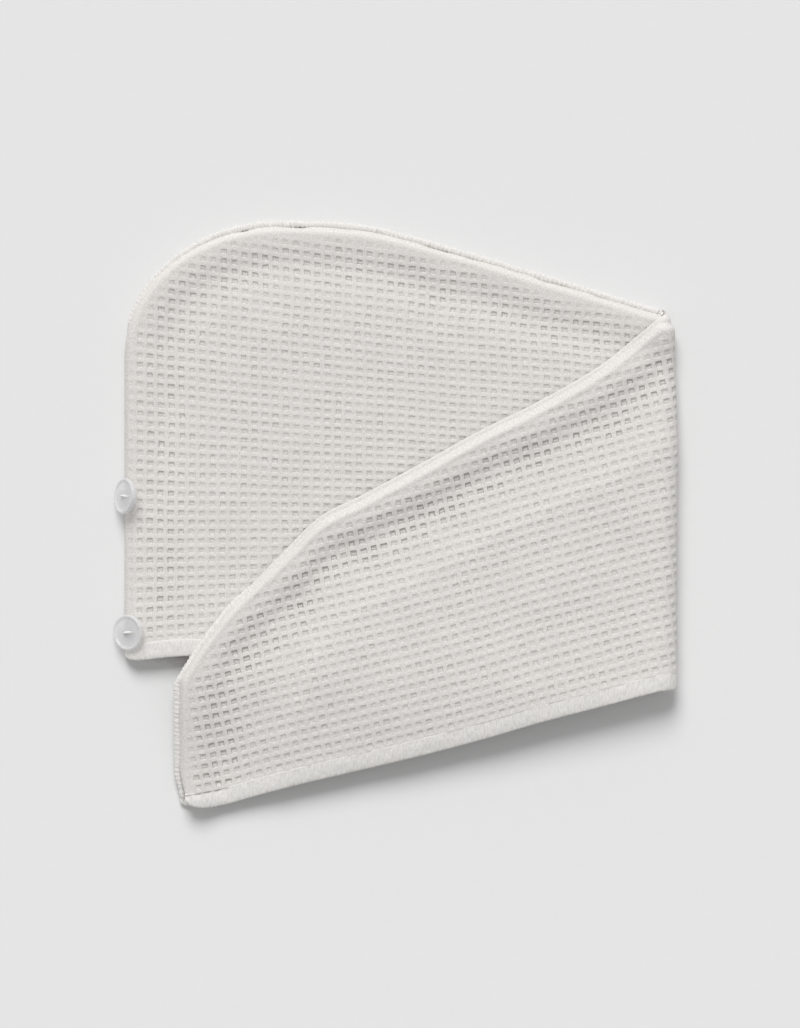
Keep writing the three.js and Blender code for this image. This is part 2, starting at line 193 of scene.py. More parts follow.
def near_tail_height(along, y):
    x = between(HOOD_LENGTH, TAIL_END, along)
    on_hood = near_hood_height(x, y) + CLOTH + LAYER_GAP
    return between(on_hood, TAIL_LIFT + CLOTH / 2, eased(0, TAIL_DROP_RUN, hood_hem(x) - y))


def far_tail_height(along, y):
    inset = tail_inset(along, y) / RIM_WIDTH
    bumps = 0.3 * drift(along * 300, y, 39, 2) + 0.2 * drift(along * 300, y, 17, 3)
    swell = eased(0, 0.3, inset) * bumps
    height = TAIL_HOLLOW * curve(RIM_INSET, RIM_TAIL, inset)
    return near_tail_height(along, y) + CLOTH + room(height, y - tail_hem(along), along) + swell


def far_hood_height(x, y):
    return np.full(np.shape(x), CLOTH / 2)


def stacked(*parts):
    return np.stack(np.broadcast_arrays(*parts), -1)


def on_near_hood(x, y):
    return stacked(x, y, near_hood_height(x, y)), stacked(0 * x, 0 * x, 0 * x + 1)


def on_far_hood(x, y):
    return stacked(x, y, far_hood_height(x, y)), stacked(0 * x, 0 * x, 0 * x - 1)


def fold_radius(y, hood_height, tail_height):
    return (tail_height(0 * y, y) - hood_height(fold_line(y), y)) / 2


def on_tail(x, y, hood_height, tail_height, side):
    """On the tail, and past the fold's middle line on down round the fold"""
    fold = fold_line(y)
    past, flat = np.maximum(x - fold, 0), np.minimum(x, fold)
    low, radius = hood_height(fold, y), fold_radius(y, hood_height, tail_height)
    turn = past / radius
    z = np.where(past > 0, low + radius * (1 + np.cos(turn)), tail_height(along_of(flat), y))
    at = stacked(flat + radius * np.sin(turn), y, z)
    return at, stacked(side * np.sin(turn), 0 * y, side * np.cos(turn))


def on_far_tail(x, y):
    return on_tail(x, y, far_hood_height, far_tail_height, 1)


def on_near_tail(x, y):
    return on_tail(x, y, near_hood_height, near_tail_height, -1)


# How far round the fold a place of the tail's cloth lies, 0 on top and 1 underneath
def round_fold(x, y, hood_height, tail_height):
    radius = fold_radius(y, hood_height, tail_height)
    return np.clip((x - fold_line(y)) / (math.pi * radius), 0, 1.2)


# The weave's lines
def hood_weave(column, row):
    """Columns run up the hood; rows fall to the right at the top and rise a little at the hem."""
    share = column / HOOD_COLUMNS
    laid = row * CELL_HEIGHT
    lean = curve([-60, 0, 20, 140, 250, 330], [0.1, 0.1, 0.085, -0.073, -0.15, -0.17], laid)
    x = share * HOOD_LENGTH
    y = laid + lean * (x - 40) + 0.0001 * laid / 250 * (x - 40) ** 2
    held = eased(0, 30, x) * eased(0, 30, HOOD_LENGTH - x)
    y = y + 0.5 * drift(x, y, 33, 4)
    return share * fold_line(y) + 0.7 * held * drift(x, y, 41, 5), y


TAIL_LEAN = 0.195


def tail_weave(column, row):
    """Rows run beside the tail's hem; columns lean to the left as they go up."""
    foot, height = TAIL_END + TAIL_COLUMN_WIDTH * column, row * TAIL_ROW_HEIGHT
    x = foot - TAIL_LEAN * height / 1.05
    x = x + 0.5 * drift(foot, height, 37, 6)
    along = (HOOD_LENGTH - x) / TAIL_LENGTH
    base = tail_hem(np.clip(along, 0, 1)) - TAIL_HEM_FALL * np.minimum(along, 0)
    return x, base + HEM_WIDTH + height + 0.4 * drift(foot, height, 29, 7)


def waffle(column, row, depth):
    """Height of the cloth over its ridges: each cell is a shallow tray with soft walls"""
    i, j = np.floor(column).astype(int), np.floor(row).astype(int)
    luck = LUCK[(i * 5 + 155) % 128, (j * 3 + 85) % 128] - 0.5
    u, v = column - i - 0.5, row - j - 0.5
    tray = eased(0.42, 0.2, np.abs(u)) * eased(0.42, 0.18, np.abs(v))
    ridge = 0.05 * (np.cos(2 * math.pi * u) + np.cos(2 * math.pi * v)) + 0.1
    return -(depth * (1 + 0.8 * luck) * tray + ridge)


# Cloth meshes
RIM = np.array([0, 0.05, 0.13, 0.25])


def spans(columns, rows, weave, inside):
    """The stretch of every column that lies inside the outline"""
    c, r = np.meshgrid(columns, rows, indexing="ij")
    within = inside(*weave(c, r)) > 0
    kept = within.sum(1) > 1
    columns, within = columns[kept], within[kept]
    first = within.argmax(1)
    last = within.shape[1] - 1 - within[:, ::-1].argmax(1)
    ends = []
    for index, way in ((first, -1), (last, 1)):
        good, bad = rows[index], rows[np.clip(index + way, 0, len(rows) - 1)]
        for _ in range(22):
            middle = (good + bad) / 2
            ok = inside(*weave(columns, middle)) > 0
            good, bad = np.where(ok, middle, good), np.where(ok, bad, middle)
        ends.append(good)
    return columns, ends[0], ends[1]


def lattice(columns, low, high, rows):
    """Points up every column, from end to end, and the faces between neighbouring columns"""
    k = len(RIM)
    points, starts, firsts, lasts, total = [], [], [], [], 0
    for a, b in zip(low, high):
        fit = min(1, (b - a) / (3 * RIM[-1]))
        margin = 1.25 * RIM[-1] * fit
        first, last = np.searchsorted(rows, [a + margin, b - margin])
        column = np.concatenate([a + RIM * fit, rows[first:last], b - RIM[::-1] * fit])
        points.append(column)
        starts.append(total)
        firsts.append(first)
        lasts.append(last)
        total += len(column)
    counts = [len(p) for p in points]
    faces = []
    for i in range(len(points) - 1):
        j = i + 1
        a, b = starts[i], starts[j]
        c, d = a + counts[i] - 1, b + counts[j] - 1
        for n in range(k - 1):
            faces.append((a + n, b + n, b + n + 1, a + n + 1))
            faces.append((c - n - 1, d - n - 1, d - n, c - n))
        left = lambda row: a + k + row - firsts[i]
        right = lambda row: b + k + row - firsts[j]
        lo, hi = max(firsts[i], firsts[j]), min(lasts[i], lasts[j])
        if hi > lo:
            faces += [(left(n), right(n), right(n + 1), left(n + 1)) for n in range(lo, hi - 1)]
            rise = [right(n) for n in range(firsts[j], lo + 1)]
            fall = [left(n) for n in range(lo, firsts[i] - 1, -1)]
            faces.append((a + k - 1, b + k - 1, *rise, *fall))
            rise = [right(n) for n in range(hi - 1, lasts[j])]
            fall = [left(n) for n in range(lasts[i] - 1, hi - 2, -1)]
            faces.append((*rise, d - k + 1, c - k + 1, *fall))
        else:
            rise = [right(n) for n in range(firsts[j], lasts[j])]
            fall = [left(n) for n in range(lasts[i] - 1, firsts[i] - 1, -1)]
            faces.append((a + k - 1, b + k - 1, *rise, d - k + 1, c - k + 1, *fall))
    c = np.repeat(columns, counts)
    return c, np.concatenate(points), faces, starts, counts


def sheet_shell(columns, rows, weave, inside, surface, every=4):
    """A closed sheet: a finely divided outer face, a coarser inner face, and a rim between them.
    `surface(column, row, x, y)` gives the outer and inner places and how much the pits show there."""
    columns, low, high = spans(columns, rows, weave, inside)
    coarse = sorted({*range(0, len(columns), every), len(columns) - 1})
    outer = lattice(columns, low, high, rows)
    inner = lattice(columns[coarse], low[coarse], high[coarse], rows[::every])
    verts, pits, weaves = [], [], []
    for part, which in ((outer, 0), (inner, 1)):
        c, r = part[0], part[1]
        faces = surface(c, r, *weave(c, r))
        verts.append(faces[which])
        pits.append(faces[2])
        weaves.append(np.stack([c * CELL_WIDTH, r * CELL_HEIGHT, 0 * c + 40 * which], -1))
    shift = len(verts[0])
    polygons = list(outer[2]) + [tuple(shift + v for v in reversed(f)) for f in inner[2]]
    end = lambda part, i: part[3][i] + part[4][i] - 1
    for n in range(len(coarse) - 1):
        i, j = coarse[n], coarse[n + 1]
        foot = [outer[3][m] for m in range(i, j + 1)]
        head = [end(outer, m) for m in range(i, j + 1)]
        polygons.append((*reversed(foot), shift + inner[3][n], shift + inner[3][n + 1]))
        polygons.append((*head, shift + end(inner, n + 1), shift + end(inner, n)))
    for fine, rough, way in ((0, 0, 1), (len(columns) - 1, len(coarse) - 1, -1)):
        a = list(range(outer[3][fine], end(outer, fine) + 1))
        b = list(range(inner[3][rough], end(inner, rough) + 1))
        spot, at = 0, []
        for v in b:
            while spot < len(a) - 1 and outer[1][a[spot]] < inner[1][v] - 1e-9:
                spot += 1
            at.append(spot)
        for n in range(len(b) - 1):
            ring = [*a[at[n] : at[n + 1] + 1], shift + b[n + 1], shift + b[n]]
            polygons.append(tuple(ring[::way]))
    return np.concatenate(verts), polygons, np.concatenate(pits), np.concatenate(weaves)


def piece_from(name, shells, material):
    """A mesh object from shells of points in millimetres"""
    verts, polygons, pits, weaves, total = [], [], [], [], 0
    for v, f, p, w in shells:
        verts.append(v)
        polygons += [tuple(total + i for i in q) for q in f]
        pits.append(p)
        weaves.append(w)
        total += len(v)
    points = (np.concatenate(verts) + ORIGIN) / 1000
    mesh = bpy.data.meshes.new(name)
    mesh.from_pydata(points.tolist(), [], polygons)
    pit = mesh.attributes.new("pit", "FLOAT", "POINT")
    pit.data.foreach_set("value", np.concatenate(pits).astype(np.float32))
    weave = mesh.attributes.new("weave", "FLOAT_VECTOR", "POINT")
    weave.data.foreach_set("vector", np.concatenate(weaves).astype(np.float32).ravel())
    work = bmesh.new()
    work.from_mesh(mesh)
    bmesh.ops.recalc_face_normals(work, faces=work.faces)
    work.to_mesh(mesh)
    work.free()
    mesh.shade_smooth()
    mesh.materials.append(material)
    made = bpy.data.objects.new(name, mesh)
    bpy.context.scene.collection.objects.link(made)
    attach(made, "root")
    return made


def steps(first, last, per_cell):
    return np.arange(math.floor(first * per_cell), math.ceil(last * per_cell) + 1) / per_cell


def curl(distance, radius, drop):
    """How far an edge rolls over towards the other panel"""
    t = np.clip(1 - distance / radius, 0, 1)
    return drop * (1 - np.sqrt(1 - t * t))


# Materials
def colour(code):
    """An sRGB hex colour as linear light"""
    parts = [int(code[i : i + 2], 16) / 255 for i in (1, 3, 5)]
    return (*[p / 12.92 if p <= 0.04045 else ((p + 0.055) / 1.055) ** 2.4 for p in parts], 1)


def add(tree, kind, inputs=None, **settings):
    """Adds one node, sets it up, and fills its sockets with numbers or with other nodes' outputs.
    A node given for a socket stands for its first output."""
    made = tree.nodes.new("ShaderNode" + kind)
    for name, value in settings.items():
        setattr(made, name, value)
    for socket, value in (inputs or {}).items():
        if isinstance(value, bpy.types.Node):
            value = value.outputs[0]
        if isinstance(value, bpy.types.NodeSocket):
            tree.links.new(value, made.inputs[socket])
        else:
            made.inputs[socket].default_value = value
    return made


def new_material(name):
    material = bpy.data.materials.new(name)
    material.use_nodes = True
    material.node_tree.nodes.clear()
    return material, material.node_tree


def finish_material(tree, shader):
    add(tree, "OutputMaterial", {"Surface": shader.outputs["BSDF"]})


def waffle_cotton():
    """Woven cotton, undyed off-white: no gloss, a faint fuzz, yarns that show as a fine grain, and
    in each cell a pit with painted shade, darkest along its wall on the crown's side, which faces away
    from the light."""
    material, tree = new_material("waffle_woven_cotton")
    weave = add(tree, "Attribute", attribute_name="weave").outputs["Vector"]
    showing = add(tree, "Attribute", attribute_name="pit").outputs["Fac"]
    # Cells of 6.6 by 6.0 mm whose walls wander by half a millimetre
    wander = add(tree, "TexNoise", {"Vector": weave, "Scale": 0.16, "Detail": 2.0})
    sway = {0: wander.outputs["Color"], 1: (2.2, 2.0, 0.0), 2: weave}
    pushed = add(tree, "VectorMath", sway, operation="MULTIPLY_ADD")
    per_cell = (1 / CELL_WIDTH, 1 / CELL_HEIGHT, 0.0)
    centred = (-1.1 / CELL_WIDTH, -1.0 / CELL_HEIGHT, 0.0)
    cell = add(tree, "VectorMath", {0: pushed, 1: per_cell, 2: centred}, operation="MULTIPLY_ADD")
    corner = add(tree, "VectorMath", {0: cell}, operation="FLOOR")
    within = add(tree, "VectorMath", {0: cell}, operation="FRACTION")
    spot = add(tree, "SeparateXYZ", {0: within})
    dice = add(tree, "TexWhiteNoise", {"Vector": corner})
    luck = add(tree, "SeparateXYZ", {0: dice.outputs["Color"]}).outputs
    off_centre = add(tree, "Math", {0: spot.outputs["X"], 1: 0.5}, operation="SUBTRACT")
    aside = add(tree, "Math", {0: off_centre}, operation="ABSOLUTE")
    height = spot.outputs["Y"]
    # The marks are painted shade in each pit, strongest in the upper bar along the wall on the crown's
    # side
    # Where each mark begins and where it is full, in cells from the middle or up from the foot
    ramps = {
        "across": (aside, 0.31, 0.22),
        "tray foot": (height, 0.26, 0.4),
        "tray head": (height, 0.9, 0.78),
        "upper foot": (height, 0.6, 0.7),
        "upper head": (height, 0.86, 0.76),
        "lower foot": (height, 0.34, 0.42),
        "lower head": (height, 0.56, 0.48),
        "side": (aside, 0.12, 0.2),
    }
    ramp = {}
    for name, (place, begins, full) in ramps.items():
        ends = {"Value": place, "From Min": begins, "From Max": full}
        ramp[name] = add(tree, "MapRange", ends, interpolation_type="SMOOTHSTEP")
    tray = add(tree, "Math", {0: ramp["tray foot"], 1: ramp["tray head"]}, operation="MULTIPLY")
    upper = add(tree, "Math", {0: ramp["upper foot"], 1: ramp["upper head"]}, operation="MULTIPLY")
    lower = add(tree, "Math", {0: ramp["lower foot"], 1: ramp["lower head"]}, operation="MULTIPLY")
    sides = add(tree, "Math", {0: ramp["side"], 1: tray}, operation="MULTIPLY")
    # The upper mark is in every cell, the lower one and the sides only as strong as the cell's luck
    some_lower = add(tree, "Math", {0: lower, 1: luck["X"]}, operation="MULTIPLY")
    side_luck = add(tree, "Math", {0: luck["Y"], 1: 0.9}, operation="MULTIPLY")
    some_sides = add(tree, "Math", {0: sides, 1: side_luck}, operation="MULTIPLY")
    bars = add(tree, "Math", {0: upper, 1: some_lower}, operation="MAXIMUM")
    painted_shade_marks = add(tree, "Math", {0: bars, 1: some_sides}, operation="MAXIMUM")
    chosen = add(tree, "MapRange", {"Value": luck["Z"], "To Min": 0.45, "To Max": 1.1})
    shown = add(tree, "Math", {0: ramp["across"], 1: showing}, operation="MULTIPLY")
    strength = add(tree, "Math", {0: shown, 1: chosen}, operation="MULTIPLY")
    shade = add(tree, "Math", {0: painted_shade_marks, 1: strength}, operation="MULTIPLY")
    sunk = add(tree, "Math", {0: tray, 1: strength}, operation="MULTIPLY")
    # Yarns of 0.5 mm, drawn a little wider so that they show: warp upright, weft level
    upright = add(tree, "Mapping", {"Vector": weave, "Scale": (1.0, 0.35, 1.0)})
    level = add(tree, "Mapping", {"Vector": weave, "Scale": (0.35, 1.0, 1.0)})
    warp = add(tree, "TexNoise", {"Vector": upright, "Scale": 1.5, "Detail": 2.0, "Roughness": 0.75})
    weft = add(tree, "TexNoise", {"Vector": level, "Scale": 1.5, "Detail": 2.0, "Roughness": 0.75})
    yarn = add(tree, "MixRGB", {"Fac": 0.45, 1: warp.outputs["Fac"], 2: weft.outputs["Fac"]})
    blotch = add(tree, "TexNoise", {"Vector": weave, "Scale": 0.05, "Detail": 2.0})
    cloth = add(tree, "MixRGB", {"Fac": blotch.outputs["Fac"], 1: colour("#e6e3df"), 2: colour("#dfdcd8")})
    # The marks darken the cloth's colour towards #a7a49c: painted shade in the pits
    depth = add(tree, "Math", {0: shade, 1: 0.36}, operation="MULTIPLY")
    cloth_with_painted_shade = add(tree, "MixRGB", {"Fac": depth, 1: cloth, 2: colour("#a7a49c")})
    contrast = {"From Min": 0.34, "From Max": 0.66, "To Min": 0.79, "To Max": 1.13}
    grain = add(tree, "MapRange", {"Value": yarn, **contrast})
    spun = add(tree, "VectorMath", {0: cloth_with_painted_shade, 1: grain}, operation="MULTIPLY")
    # Heights in millimetres: a pit's floor a quarter of one down, and yarns that stand as high
    stood = add(tree, "Math", {0: yarn, 1: 0.5}, operation="MULTIPLY")
    sagged = add(tree, "Math", {0: sunk, 1: 0.25}, operation="MULTIPLY")
    rise = add(tree, "Math", {0: stood, 1: sagged}, operation="SUBTRACT")
    bump = add(tree, "Bump", {"Strength": 1.0, "Distance": 0.001, "Height": rise})
    shader = add(
        tree,
        "BsdfPrincipled",
        {
            "Base Color": spun.outputs["Vector"],
            "Roughness": 0.95,
            "Specular IOR Level": 0.15,
            "Sheen Weight": 0.12,
            "Sheen Roughness": 0.5,
            "Normal": bump.outputs["Normal"],
        },
    )
    finish_material(tree, shader)
    return material


def hem_cotton():
    """The same cotton turned twice and stitched: flat, with fine ribs across where the weave is pulled,
    and drawn a little lighter than the cotton as painted light
    """
    material, tree = new_material("turned_cotton_hem")
    weave = add(tree, "Attribute", attribute_name="weave").outputs["Vector"]
    ribs = add(tree, "Mapping", {"Vector": weave, "Scale": (1.0, 0.25, 1.0)})
    fine = add(tree, "TexNoise", {"Vector": ribs, "Scale": 1.0, "Detail": 2.0, "Roughness": 0.7})
    blotch = add(tree, "TexNoise", {"Vector": weave, "Scale": 0.06, "Detail": 2.0})
    # A little lighter than the waffle cotton: painted light that offsets the shade on the band
    cloth = add(tree, "MixRGB", {"Fac": blotch.outputs["Fac"], 1: colour("#eae7e4"), 2: colour("#e3e1dd")})
    contrast = {"From Min": 0.32, "From Max": 0.68, "To Min": 0.86, "To Max": 1.08}
    grain = add(tree, "MapRange", {"Value": fine.outputs["Fac"], **contrast})
    spun = add(tree, "VectorMath", {0: cloth, 1: grain}, operation="MULTIPLY")
    bump = add(tree, "Bump", {"Strength": 0.7, "Distance": 0.0007, "Height": fine.outputs["Fac"]})
    shader = add(
        tree,
        "BsdfPrincipled",
        {
            "Base Color": spun.outputs["Vector"],
            "Roughness": 0.95,
            "Specular IOR Level": 0.15,
            "Sheen Weight": 0.1,
            "Normal": bump.outputs["Normal"],
        },
    )
    finish_material(tree, shader)
    return material


def button_resin():
    """Cast polyester, water-clear and polished: it shows the cloth through itself and a bright rim"""
    material, tree = new_material("cast_clear_polyester")
    cloudy = add(tree, "TexNoise", {"Scale": 300.0, "Detail": 2.0})
    tint = add(tree, "MixRGB", {"Fac": cloudy.outputs["Fac"], 1: colour("#f2f2f3"), 2: colour("#e6e6e8")})
    shader = add(
        tree,
        "BsdfPrincipled",
        {
            "Base Color": tint.outputs["Color"],
            "Roughness": 0.12,
            "IOR": 1.52,
            "Alpha": 0.45,
        },
    )
    finish_material(tree, shader)
    return material


def sewing_thread():
    """Spun cotton thread, bleached and mercerised: white with a faint twist"""
    material, tree = new_material("spun_cotton_thread")
    twist = add(tree, "TexWave", {"Scale": 600.0, "Distortion": 1.0}, bands_direction="DIAGONAL")
    white = add(tree, "MixRGB", {"Fac": twist.outputs["Fac"], 1: colour("#eeede9"), 2: colour("#fafaf8")})
    bump = add(tree, "Bump", {"Strength": 0.4, "Distance": 0.0002, "Height": twist.outputs["Fac"]})
    shader = add(
        tree,
        "BsdfPrincipled",
        {"Base Color": white.outputs["Color"], "Roughness": 0.7, "Normal": bump.outputs["Normal"]},
    )
    finish_material(tree, shader)
    return material


def table_paper():
    """Matt coated board, pale neutral grey, with the finest grain"""
    material, tree = new_material("matt_coated_board")
    grain = add(tree, "TexNoise", {"Scale": 900.0, "Detail": 2.0})
    pale = add(tree, "MixRGB", {"Fac": grain.outputs["Fac"], 1: colour("#e8e8e8"), 2: colour("#eaeaea")})
    matt = {"Base Color": pale, "Roughness": 0.95, "Specular IOR Level": 0.0}
    shader = add(tree, "BsdfPrincipled", matt)
    finish_material(tree, shader)
    return material


COTTON = waffle_cotton()
HEM = hem_cotton()
RESIN = button_resin()
THREAD = sewing_thread()

# Near panel, hood
STAND = 0.3  # how far the ridges stand over the solid cloth
PIT_DEPTH = 0.18


def trough(inset):
    """The dip behind a puffed edge, where the pits get a deeper bump and more painted shade"""
    return eased(0.14, 0.3, inset / RIM_WIDTH) * eased(0.75, 0.45, inset / RIM_WIDTH)


def near_top_edge(x):
    ragged = 1 + 0.28 * drift(x, 0 * x, 9, 8) + 0.2 * drift(x, 0 * x, 31, 9)
    return top_seam(x) - SEAM_STEP * ragged


def under_tail(x):
    """The hood's cloth that the tail hides, from a little way in"""
    return tail_seam(along_of(x)) - 26


def near_hood_surface(column, row, x, y):
    at, out = on_near_hood(x, y)
    top, above_hem = hood_top_inset(x, y), y - near_hood_hem(x) - HEM_WIDTH
    fade = eased(3, 13, top + 2.5 * drift(x, y, 13, 10)) * eased(1, 8, x) * eased(0, 5, above_hem)
    edge = nearest(np.maximum(x, 0), np.maximum(near_top_edge(x) - y, 0) * 0.95)
    drop = curl(edge, 2.6, 2.0)[..., None] * out
    outer = at + out * (CLOTH / 2 + STAND + waffle(column, row, PIT_DEPTH) * fade)[..., None] - drop
    # The last value is how strongly the pits show, as bump and as painted shade, more in the trough
    return outer, at - out * CLOTH / 2 - drop, fade * (1 + 0.6 * trough(hood_inset(x, y)))


def near_hood_seen(x, y):
    low = np.maximum(near_hood_hem(x) + HEM_WIDTH, under_tail(x))
    return np.minimum(near_top_edge(x) - y, y - low)


def near_hood_hidden(x, y):
    return np.minimum(under_tail(x) - y, y - near_hood_hem(x) - HEM_WIDTH)


columns, rows = steps(0, HOOD_COLUMNS, 7), steps(-8, HOOD_ROWS, 8)
seen = sheet_shell(columns, rows, hood_weave, near_hood_seen, near_hood_surface)
columns, rows = steps(4, HOOD_COLUMNS, 2), steps(-8, HOOD_ROWS, 2)
hidden = sheet_shell(columns, rows, hood_weave, near_hood_hidden, near_hood_surface, 2)
near_hood = piece_from("near_panel_hood", [seen, hidden], COTTON)

# Far panel, tail and fold
def far_top_edge(x, y):
    drawn_in = curve(TAIL_ALONG, FAR_DRAWN_IN, along_of(x)) * (1 + 0.15 * drift(x, 0 * x, 11, 11))
    share = round_fold(x, y, far_hood_height, far_tail_height)
    return between(tail_seam(along_of(x)) - SEAM_STEP * drawn_in, top_seam(HOOD_LENGTH), share)


def tail_left_edge(y, inset):
    up = (y - tail_hem(np.ones_like(y)) - HEM_WIDTH) / 72
    return TAIL_END + inset + TAIL_DRAW_IN * (1 - eased(0, 0.25, up))


def far_tail_low(x, y):
    share = round_fold(x, y, far_hood_height, far_tail_height)
    return between(tail_hem(along_of(x)), hood_hem(HOOD_LENGTH), share) + HEM_WIDTH


def far_tail_inside(x, y):
    top = far_top_edge(x, y) - y
    left = x - tail_left_edge(y, SEAM_STEP)
    turned = fold_line(y) + math.pi * fold_radius(y, far_hood_height, far_tail_height) - x
    return np.minimum(np.minimum(top, left), np.minimum(turned, y - far_tail_low(x, y)))


def far_tail_surface(column, row, x, y):
    at, out = on_far_tail(x, y)
    along = along_of(x)
    step = SLOPE_STEP / TAIL_LENGTH
    safe = np.clip(along, step, 1 - step)
    slope = tail_seam(safe + step) - tail_seam(safe - step)
    top = (far_top_edge(x, y) - y) / np.hypot(1, slope)
    left, above_hem = x - tail_left_edge(y, SEAM_STEP), y - far_tail_low(x, y)
    fade = eased(5, 14, top + 2 * drift(x, y, 13, 12)) * eased(2, 12, left) * eased(0, 5, above_hem)
    edge = nearest(np.maximum(top, 0), np.maximum(left, 0))
    drop = curl(edge, 2.2, 1.4)[..., None] * out
    stand = STAND * (1 - eased(0.5, 1, round_fold(x, y, far_hood_height, far_tail_height)))
    outer = at + out * (CLOTH / 2 + stand + waffle(column, row, PIT_DEPTH) * fade)[..., None] - drop
    # The last value is how strongly the pits show, as bump and as painted shade, more in the trough
    return outer, at - out * CLOTH / 2 - drop, fade * (1 + 1.3 * trough(tail_inset(along, y)))


columns, rows = steps(0, TAIL_COLUMNS, 7), steps(-1, TAIL_ROWS, 8)
tail_shell = sheet_shell(columns, rows, tail_weave, far_tail_inside, far_tail_surface)
far_tail = piece_from("far_panel_tail", [tail_shell], COTTON)

# Near panel, tail
def near_tail_inside(x, y):
    share = round_fold(x, y, near_hood_height, near_tail_height)
    drawn_in = 1 - curve(TAIL_ALONG, FAR_DRAWN_IN, along_of(x))
    seam = tail_seam(along_of(x)) - SEAM_STEP * drawn_in
    top = between(seam, top_seam(HOOD_LENGTH) - SEAM_STEP, share) - 1
    low = between(near_tail_hem(along_of(x)), near_hood_hem(HOOD_LENGTH), share) + HEM_WIDTH
    turned = fold_line(y) + math.pi * fold_radius(y, near_hood_height, near_tail_height) - x
    left = x - tail_left_edge(y, 1.0)
    return np.minimum(np.minimum(top - y, left), np.minimum(turned, y - low))


def near_tail_surface(column, row, x, y):
    at, out = on_near_tail(x, y)
    return at + out * CLOTH / 2, at - out * CLOTH / 2, 0 * x + 1


columns, rows = steps(0, TAIL_COLUMNS, 2), steps(-1, TAIL_ROWS, 2)
tail_shell = sheet_shell(columns, rows, tail_weave, near_tail_inside, near_tail_surface, 1)
near_tail = piece_from("near_panel_tail", [tail_shell], COTTON)

# Far panel, hood
def far_hood_inside(x, y):
    return np.minimum(np.minimum(top_seam(x) - 1.6 - y, x - 1.6), y - hood_hem(x) - HEM_WIDTH)


def far_hood_surface(column, row, x, y):
    at, out = on_far_hood(x, y)
    top = hood_top_inset(x, y) + 2
    above_hem = y - hood_hem(x) - HEM_WIDTH
    fade = eased(2, 10, top) * eased(2, 8, x) * eased(0, 5, above_hem)
    outer = at + out * (CLOTH / 2 + waffle(column, row, PIT_DEPTH) * fade)[..., None]
    return outer, at - out * CLOTH / 2, fade


columns, rows = steps(0, HOOD_COLUMNS, 4), steps(-8, HOOD_ROWS, 4)
hood_shell = sheet_shell(columns, rows, hood_weave, far_hood_inside, far_hood_surface, 2)
far_hood = piece_from("far_panel_hood", [hood_shell], COTTON)

# Hems
HEM_TUCK = 1.6  # how far the band starts under the cloth


def swept(rings):
    """A closed band through rings of points, with both ends filled"""
    count, size = rings.shape[:2]
    grid = np.arange(count * size).reshape(count, size)
    after = np.roll(grid, -1, 1)
    quads = np.stack([grid[:-1], after[:-1], after[1:], grid[1:]], -1).reshape(-1, 4)
    return rings.reshape(-1, 3), [*map(tuple, quads.tolist()), tuple(grid[0][::-1]), tuple(grid[-1])]


def hem_band(x, edge_y, width, proud, crease, surface, start):
    """One stretch of a hem: x along the cloth, edge_y where the panel ends, width of the band,
    how proud of the cloth it may stand, and how deep the stitching draws its inner edge in"""
    edge, out = surface(x, edge_y)
    beyond, _ = surface(x, edge_y - HEM_WIDTH)
    away = (beyond - edge) * [0, 1, 1]
    away /= np.linalg.norm(away, axis=-1, keepdims=True)
    length = start + np.concatenate([[0], np.cumsum(np.linalg.norm(np.diff(edge, axis=0), axis=-1))])
    angle = np.linspace(0, 2 * math.pi, 37)[:-1]
    rounded = lambda wave: np.sign(wave) * np.abs(wave) ** 0.45
    across = 0.5 - 0.5 * rounded(np.cos(angle))
    down = 0.5 - 0.5 * rounded(np.sin(angle))
    reach = -HEM_TUCK + (width[:, None] + HEM_TUCK) * across
    stitch = np.abs(np.sin(math.pi * length / CELL_WIDTH))[:, None]
    tucked = 0.8 * eased(-0.1, -HEM_TUCK, reach)
    drawn = crease[:, None] * (0.4 + 0.6 * stitch) * eased(-0.5, 0.5, reach) * eased(3, 1.2, reach)
    crown = 0.3 * np.sin(math.pi * np.clip(across, 0, 1) ** 0.6)
    uneven = 0.14 * drift(length[:, None], 9 * across, 3.3, 13)
    uneven = uneven + 0.2 * drift(length[:, None], 0 * across, 14, 14)
    top = CLOTH / 2 + proud[:, None] * (STAND + 0.1 + crown + uneven) - tucked - drawn
    depth = between(top, CLOTH / 2 - HEM_THICKNESS, down)
    ring = edge[:, None] + away[:, None] * reach[..., None] + out[:, None] * depth[..., None]
    weave = np.stack(np.broadcast_arrays(length[:, None], reach, 80.0), -1)
    return ring, weave, length[-1]


def hem_piece(name, runs):
    rings, weaves, start = [], [], 0.0
    for run in runs:
        ring, weave, start = hem_band(*run, start)
        rings.append(ring)
        weaves.append(weave)
    verts, polygons = swept(np.concatenate(rings))
    shell = (verts, polygons, np.zeros(len(verts)), np.concatenate(weaves).reshape(-1, 3))
    return piece_from(name, [shell], HEM)


def corner_width(distance, run, share):
    inside = np.clip(1 - distance / run, 0, 1)
    return HEM_WIDTH - HEM_WIDTH * share * (1 - np.sqrt(1 - inside * inside))


